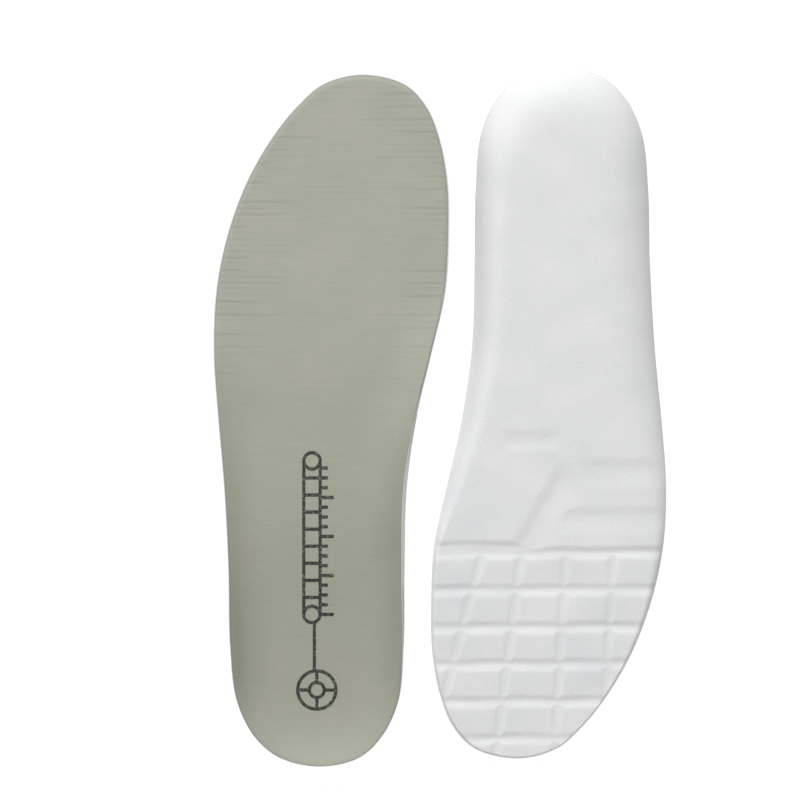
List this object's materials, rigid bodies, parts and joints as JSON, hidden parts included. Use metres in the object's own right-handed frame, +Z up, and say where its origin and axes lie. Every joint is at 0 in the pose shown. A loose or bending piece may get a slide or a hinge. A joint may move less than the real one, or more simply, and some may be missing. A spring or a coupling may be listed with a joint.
{
  "type": "cushioned insole",
  "caption": "Pair of moulded foam boot insoles with cloth tops, heel cups and raised arch edges; one lies face up, the other turned over to show its grooved underside.",
  "frame": {"origin": "middle of the pair's bounding box, on the surface that both insoles lie on", "axes": "+X from the face-up left insole to the turned-over right one, +Y towards the left insole's toe, +Z up"},
  "size_m": [0.186, 0.2866, 0.0209],
  "materials": {
    "foam": "matt closed-cell moulded foam, white",
    "bond_film": "thin hot-melt adhesive film",
    "cover_cloth": "sage grey cloth with fine ribs across the foot",
    "print_ink": "matt dark screen print, slightly worn"
  },
  "bodies": {
    "left_insole": {"left_foam_body": "foam", "left_bond_film": "bond_film", "left_top_cover": "cover_cloth", "left_printed_mark": "print_ink"},
    "right_insole": {"right_foam_body": "foam", "right_bond_film": "bond_film", "right_top_cover": "cover_cloth", "right_printed_mark": "print_ink"}
  },
  "joints": [
    {"name": "right_insole_lift", "type": "slide", "parent": "left_insole", "child": "right_insole", "axis": [0, 0, 1], "range_m": [0, 0.1]}
  ]
}
